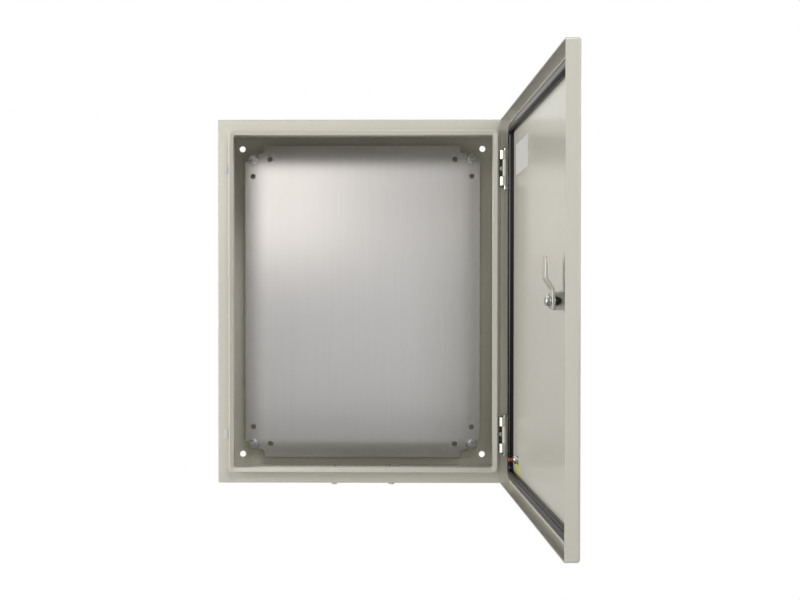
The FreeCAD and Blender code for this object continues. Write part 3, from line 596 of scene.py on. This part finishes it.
def hex_nut(flats, height, bore=0):
    """A nut on +Z from the origin; with no bore it is the head of a screw."""
    corner_radius = flats / math.sqrt(3)
    nut = disc(corner_radius, 0, height, corners=6)
    blank = disc(corner_radius * BLANK_MARGIN, 0, height)
    bevel_ends(blank, (0, height), corner_radius - flats * CHAMFER_CIRCLE / 2)
    carve(nut, blank, "INTERSECT")
    if bore:
        drill = disc(bore, -height, height * 2, corners=40)
        carve(nut, drill)
        pick(nut, lambda centre, corners: at_level(corners, height)
             and all(corner.xy.length < bore * BORE_MARGIN for corner in corners))
        bpy.ops.mesh.bevel(offset=bore * COUNTERSINK, affect="EDGES")
        leave_edit()
    return nut


print("a nut's chamfer meets its end in a circle %.2f times its flats" % CHAMFER_CIRCLE)


# %% [markdown]
# A thread is one triangle carried round and up at the same time. The screw modifier does just that:
# it sweeps a triangle round Z and lifts it by one pitch each turn. The ridge then lies on a plain core
# with a chamfered end, so that the run-out at the tip looks turned. Its proportions are shares of the
# pitch.

# %% Threaded stud
THREAD_DEPTH = 0.55
RIDGE_RADIUS = 0.56
RIDGE_LIFT = 0.2
RUN_OUT = 0.6
TIP_CHAMFER = 0.35
THREAD_STEPS = 24


def threaded_stud(radius, length, pitch, plain):
    """A stud along +Z from the origin. Its first stretch stays plain."""
    core_radius = radius - pitch * THREAD_DEPTH
    core = disc(core_radius, 0, length, corners=32)
    bevel_ends(core, (length,), pitch * TIP_CHAMFER)
    bpy.ops.mesh.primitive_circle_add(vertices=3, radius=pitch * RIDGE_RADIUS, fill_type="NOTHING",
                                      location=(0, 0, 0), rotation=(math.pi / 2, 0, -math.pi / 2))
    ridge = bpy.context.object
    only(ridge)
    bpy.ops.object.transform_apply(rotation=True)
    pick(ridge, lambda centre, corners: True)
    bpy.ops.transform.rotate(value=math.pi / 2, orient_axis="Y", center_override=(0, 0, 0))
    bpy.ops.transform.translate(value=(core_radius + pitch * RIDGE_LIFT, 0,
                                       plain + pitch * RUN_OUT))
    leave_edit()
    turns = max(1, int((length - plain - pitch * RUN_OUT * 2) / pitch))
    modify(ridge, "SCREW", axis="Z", angle=math.tau, screw_offset=pitch, iterations=turns,
           steps=THREAD_STEPS, render_steps=THREAD_STEPS, use_merge_vertices=False)
    only(ridge)
    bpy.ops.object.mode_set(mode="EDIT")
    bpy.ops.mesh.select_all(action="SELECT")
    bpy.ops.mesh.fill_holes(sides=4)
    bpy.ops.mesh.normals_make_consistent(inside=False)
    leave_edit()
    return join([ridge, core])


print("a turn of thread has", THREAD_STEPS, "steps")


# %% [markdown]
# Four M6 studs carry the mounting plate, each with a washer and a nut. They stand 35 mm in from the
# sides of the body. The thread shows at the end of each stud, so the stretch that the spacer, the
# plate and the nut hide is left plain.

# %% Fixings of the mounting plate
M6 = {"radius": 3 * MM, "pitch": 1 * MM}
M6_NUT = {"flats": 10 * MM, "height": 5 * MM, "bore": 3 * MM}
STUD_FROM_MIDDLE = (165 * MM, 214.7 * MM)
BACK_FACE = -1.5 * MM
PLATE_FACE = -15.5 * MM
WASHER_THICKNESS = 1.6 * MM


def flat_washer(outer, inner, thickness):
    """A washer along +Z from the origin, its edges slightly rounded by the punch."""
    washer = disc(outer, 0, thickness, corners=56)
    bevel_ends(washer, (0, thickness), thickness * 0.2, steps=2)
    carve(washer, disc(inner, -thickness, thickness * 2, corners=40))
    return washer


def stud_spots(depth):
    """The four studs' places at one depth in front of the wall."""
    across, up = STUD_FROM_MIDDLE
    return [(x * across, depth, z * up) for x in (-1, 1) for z in (-1, 1)]


dress_each(threaded_stud(**M6, length=22.6 * MM, plain=12 * MM), stud_spots(BACK_FACE), OUTWARD,
           "plate_stud_threads", "body", "plate_studs")
dress_each(flat_washer(7 * MM, 3.1 * MM, WASHER_THICKNESS), stud_spots(PLATE_FACE), OUTWARD,
           "plate_flat_washers", "body", "plate_washers")
dress_each(hex_nut(**M6_NUT), stud_spots(PLATE_FACE - WASHER_THICKNESS), OUTWARD,
           "plate_hex_nuts", "body", "plate_nuts")


# %% [markdown]
# The hinge brackets and the lock's housing are cast, and the cam and the washer are stamped, so none
# of their edges is sharp. Their solids already have the right shape; a copy is merged, its flat areas
# are cleaned to single faces, and every sharp edge is rounded by a bevel.

# %% Rounded copies of the cast and stamped pieces
MERGE_DISTANCE = 0.002 * MM
FLAT_BELOW = math.radians(2)
SHARP_ABOVE = math.radians(40)
ROUNDING_STEPS = 3


def softened(node, width):
    """A copy of a frame piece with its sharp edges rounded."""
    piece = copy_of(nodes[node])
    piece.parent = None
    piece.matrix_world = Matrix.Identity(4)
    only(piece)
    bpy.ops.object.mode_set(mode="EDIT")
    bpy.ops.mesh.select_all(action="SELECT")
    bpy.ops.mesh.remove_doubles(threshold=MERGE_DISTANCE)
    bpy.ops.mesh.dissolve_limited(angle_limit=FLAT_BELOW)
    leave_edit()
    modify(piece, "BEVEL", width=width, segments=ROUNDING_STEPS, limit_method="ANGLE",
           angle_limit=SHARP_ABOVE, use_clamp_overlap=True)
    return piece


ROUNDED = [
    ("hinge_bracket_upper", "hinge_casting_upper", "body", 0.6),
    ("hinge_bracket_lower", "hinge_casting_lower", "body", 0.6),
    ("hinge_leaf_upper", "hinge_knuckle_upper", "door", 0.3),
    ("hinge_leaf_lower", "hinge_knuckle_lower", "door", 0.3),
    ("lock_cam", "lock_cam_lever", "lock_rotor", 0.35),
    ("cam_washer", "cam_flat_washer", "lock_rotor", 0.25),
    ("lock_housing", "lock_barrel", "door", 0.4),
    ("hinge_blanking_plugs", "blanking_plug_caps", "body", 0.3),
]
for node, name, body, radius_mm in ROUNDED:
    dress(softened(node, radius_mm * MM), name, body, node)


# %% [markdown]
# The bracket's screw sits between the two arms: a pan head with a cross recess. The head starts as a
# disc, its rim is rounded in a few steps, and two crossed blades that narrow downwards cut the recess.
# The gland plate's screws, under the body, are the same kind one size up. The recess is in shares of
# the head, so that one function makes both.

# %% Cross-recess screws
HEAD_ROUNDING = 0.62
CROSS_LENGTH = 1.15
CROSS_WIDTH = 0.24
CROSS_HEIGHT = 1.3
CROSS_TAPER = 0.45
HINGE_SCREW_PLACE = (189.5 * MM, -145.3 * MM, 182 * MM)
GLAND_MIDDLE = (0, -80 * MM, -253.5 * MM)
GLAND_REACH = (40 * MM, 36.5 * MM)


def pan_head(radius, height, shank_radius, shank_length):
    """A head above the origin and a shank below it."""
    head = disc(radius, 0, height, corners=48)
    bevel_ends(head, (height,), height * HEAD_ROUNDING, steps=5)
    for turn in (0, math.pi / 2):
        bpy.ops.mesh.primitive_cube_add(size=1, location=(0, 0, height), rotation=(0, 0, turn))
        blade = bpy.context.object
        blade.scale = (radius * CROSS_LENGTH, radius * CROSS_WIDTH, height * CROSS_HEIGHT)
        only(blade)
        bpy.ops.object.transform_apply(location=True, rotation=True, scale=True)
        pick(blade, lambda centre, corners: centre.z < height / 2, kind="FACE")
        bpy.ops.transform.resize(value=(CROSS_TAPER, CROSS_TAPER, 1), center_override=(0, 0, 0))
        leave_edit()
        carve(head, blade)
    shank = disc(shank_radius, -shank_length, 0, corners=24)
    return join([shank, head])


across, depth, up = HINGE_SCREW_PLACE
dress_each(pan_head(3.4 * MM, 2 * MM, 2 * MM, 7.5 * MM),
           [(across, depth, side * up) for side in (-1, 1)],
           OUTWARD, "hinge_cross_screws", "body", "hinge_bracket_screws")
dress_each(pan_head(4.5 * MM, 3 * MM, 2.5 * MM, 13 * MM),
           [(x * GLAND_REACH[0], GLAND_MIDDLE[1] + y * GLAND_REACH[1], GLAND_MIDDLE[2])
            for x in (-1, 1) for y in (-1, 1)],
           DOWNWARD, "gland_cross_screws", "body", "gland_screws")


# %% [markdown]
# Behind the door the lock shows its fixing nut and the screw that holds the cam. Both lie on the
# lock's axis, so their place is read from the frame: the door's skin is where the nut's solid ends,
# and the screw's head sits on the cam's washer.

# %% Lock nut and cam screw
def middle_of(node):
    low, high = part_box(node)
    return (Vector(low) + Vector(high)) / 2


LOCK_AXIS = middle_of("lock_nut").yz
DOOR_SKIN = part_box("lock_nut")[1][0]
WASHER_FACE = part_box("cam_washer")[0][0]
dress_each(hex_nut(24 * MM, 4 * MM, 9.5 * MM), [(DOOR_SKIN, *LOCK_AXIS)],
           INWARD, "lock_hex_nut", "door", "lock_nut")
head = hex_nut(10 * MM, 4 * MM)
shank = disc(2.5 * MM, -10.5 * MM, 0, corners=24)
dress_each(join([shank, head]), [(WASHER_FACE, *LOCK_AXIS)],
           INWARD, "cam_hex_screw", "lock_rotor", "cam_screw")


# %% [markdown]
# Low on the hinge side a copper-plated stud takes the door's earth lead, with its washer and nut. The
# body has one too, welded to its floor, with a nut and no washer. They are made by the same functions
# as the plate's fixings, because they are the same M6 parts.

# %% Earth studs
EARTH_AXIS = middle_of("door_earth_nut").yz
EARTH_WASHER_THICKNESS = 1.2 * MM
WASHER_TOP = DOOR_SKIN - EARTH_WASHER_THICKNESS
FLOOR_STUD_PLACE = (150 * MM, -110 * MM, -248.5 * MM)

dress_each(threaded_stud(**M6, length=12.8 * MM, plain=1 * MM), [(DOOR_SKIN, *EARTH_AXIS)],
           INWARD, "earth_stud_thread", "door", "door_earth_stud")
dress_each(flat_washer(5.5 * MM, 3.1 * MM, EARTH_WASHER_THICKNESS), [(DOOR_SKIN, *EARTH_AXIS)],
           INWARD, "earth_flat_washer", "door", "door_earth_washer")
dress_each(hex_nut(**M6_NUT), [(WASHER_TOP, *EARTH_AXIS)],
           INWARD, "earth_hex_nut", "door", "door_earth_nut")
dress_each(threaded_stud(**M6, length=16 * MM, plain=1 * MM), [FLOOR_STUD_PLACE],
           UPWARD, "body_stud_thread", "body", "body_earth_stud")
dress_each(hex_nut(**M6_NUT), [FLOOR_STUD_PLACE],
           UPWARD, "body_hex_nut", "body", "body_earth_nut")


# %% [markdown]
# At the end the script counts the pieces that were dressed.

# %% Count the dressed pieces
def plain(box):
    return [list(map(float, corner)) for corner in box]


print("dressed pieces:", len(DRESSED))
